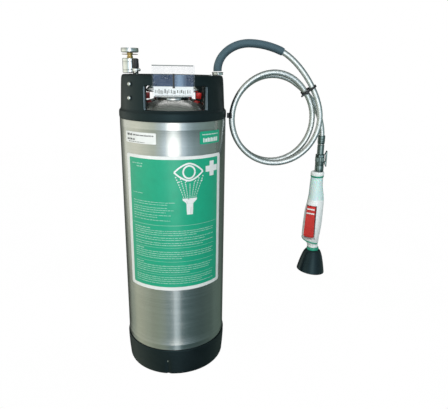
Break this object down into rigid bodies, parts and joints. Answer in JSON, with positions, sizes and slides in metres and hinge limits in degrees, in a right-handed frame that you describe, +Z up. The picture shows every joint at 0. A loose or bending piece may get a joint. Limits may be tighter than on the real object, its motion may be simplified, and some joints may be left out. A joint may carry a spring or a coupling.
{
  "type": "portable eyewash station",
  "caption": "Pressurised steel tank with rubber boot and handle ring, bail-locked lid, charging valve with gauge, coiled braided hose and squeeze-lever eyewash hand piece.",
  "frame": {"origin": "centre of the base boot's flat underside, on the tank's axis", "axes": "+Z up along the tank's axis; the safety label faces -Y; the hose hangs on the +X side"},
  "size_m": [0.4612, 0.22, 0.6986],
  "materials": {
    "tank_steel": "satin brushed stainless steel",
    "black_rubber": "moulded matt rubber",
    "chrome": "bright plated",
    "brass": "machined",
    "label_green": "printed vinyl label, satin",
    "label_white": "printed vinyl label, satin",
    "green_plastic": "moulded",
    "white_plastic": "moulded",
    "red_plastic": "moulded",
    "black_plastic": "moulded",
    "clear_plastic": "clear",
    "braided_steel": "woven stainless wire",
    "card": "printed card"
  },
  "bodies": {
    "tank": {"base_boot": "black_rubber", "bracket_bolt_lower": "chrome", "bracket_bolt_upper": "chrome", "bracket_nut_lower": "chrome", "bracket_nut_upper": "chrome", "braided_hose": "braided_steel", "card_pouch": "clear_plastic", "charge_valve_body": "chrome", "coil_tie": "black_plastic", "contents_label": "label_green", "data_label": "label_white", "dip_tube": "tank_steel", "gas_coupling": "black_plastic", "gas_elbow": "black_plastic", "gas_post": "tank_steel", "gas_tube": "tank_steel", "gauge_bezel": "chrome", "gauge_case": "chrome", "gauge_dial": "white_plastic", "gauge_lens": "clear_plastic", "gauge_stem": "brass", "handle_ring": "black_rubber", "hose_end_ferrule": "chrome", "hose_ferrule": "chrome", "hose_sleeve": "black_rubber", "inspection_card": "card", "lip_clip": "black_plastic", "liquid_post": "tank_steel", "outlet_coupling": "black_plastic", "outlet_elbow": "chrome", "pouch_tie": "black_plastic", "safety_label": "label_green", "schrader_stem": "chrome", "tank_shell": "tank_steel", "valve_bracket": "tank_steel"},
    "lid": {"lid_plate": "tank_steel", "lid_oring": "black_rubber", "lid_ear_left": "tank_steel", "lid_ear_right": "tank_steel", "relief_body": "brass", "relief_cap": "chrome", "relief_spring": "tank_steel"},
    "bail": {"bail_wire": "chrome", "bail_foot_left": "red_plastic", "bail_foot_right": "red_plastic"},
    "relief_stem": {"relief_stem": "chrome"},
    "relief_ring": {"relief_ring": "chrome"},
    "gauge_pointer": {"gauge_pointer": "black_plastic"},
    "schrader_pin": {"schrader_pin": "brass"},
    "schrader_cap": {"schrader_cap": "black_plastic"},
    "hand_piece": {"swivel_nut": "black_plastic", "hang_clip": "chrome", "grip_cap": "green_plastic", "grip_body": "white_plastic", "trigger_pin": "tank_steel", "nozzle_collar": "green_plastic", "rubber_cup": "black_rubber", "spray_rose": "white_plastic"},
    "trigger": {"trigger": "red_plastic"},
    "valve_plunger": {"valve_plunger": "tank_steel"}
  },
  "joints": [
    {"name": "lid_drop", "type": "slide", "parent": "tank", "child": "lid", "axis": [0, 0, -1], "range_m": [0, 0.002]},
    {"name": "bail_pivot", "type": "hinge", "parent": "lid", "child": "bail", "pos_m": [0, 0, 0.5965], "axis": [1, 0, 0], "range_deg": [0, 100]},
    {"name": "relief_lift", "type": "slide", "parent": "lid", "child": "relief_stem", "axis": [0, 0, 1], "range_m": [0, 0.003], "stiffness_N_per_m": 800, "deforming": ["relief_spring"]},
    {"name": "relief_ring_pivot", "type": "hinge", "parent": "relief_stem", "child": "relief_ring", "pos_m": [0, 0, 0.611], "axis": [1, 0, 0], "range_deg": [0, 170]},
    {"name": "gauge_pointer_turn", "type": "hinge", "parent": "tank", "child": "gauge_pointer", "pos_m": [-0.083, 0, 0.6717], "axis": [0, 0, -1], "range_deg": [0, 270]},
    {"name": "schrader_pin_press", "type": "slide", "parent": "tank", "child": "schrader_pin", "axis": [0, 0, -1], "range_m": [0, 0.001], "stiffness_N_per_m": 500},
    {"name": "schrader_cap_lift", "type": "slide", "parent": "tank", "child": "schrader_cap", "axis": [0, 0, 1], "range_m": [0, 0.015]},
    {"name": "hand_piece_swivel", "type": "hinge", "parent": "tank", "child": "hand_piece", "pos_m": [0.3218, 0.01, 0.4846], "axis": [0, 0, 1], "continuous": true},
    {"name": "trigger_squeeze", "type": "hinge", "parent": "hand_piece", "child": "trigger", "pos_m": [0.31064, 0.00212, 0.3409], "axis": [0.788, -0.6157, 0], "range_deg": [0, 7], "stiffness_Nm_per_rad": 3},
    {"name": "valve_plunger_press", "type": "slide", "parent": "hand_piece", "child": "valve_plunger", "axis": [0.6157, 0.788, 0], "range_m": [0, 0.005]}
  ],
  "couplings": [
    {"joint": "bail_pivot", "follows": "lid_drop", "rad_per_m": 872.66},
    {"joint": "valve_plunger_press", "follows": "trigger_squeeze", "m_per_rad": 0.038}
  ]
}
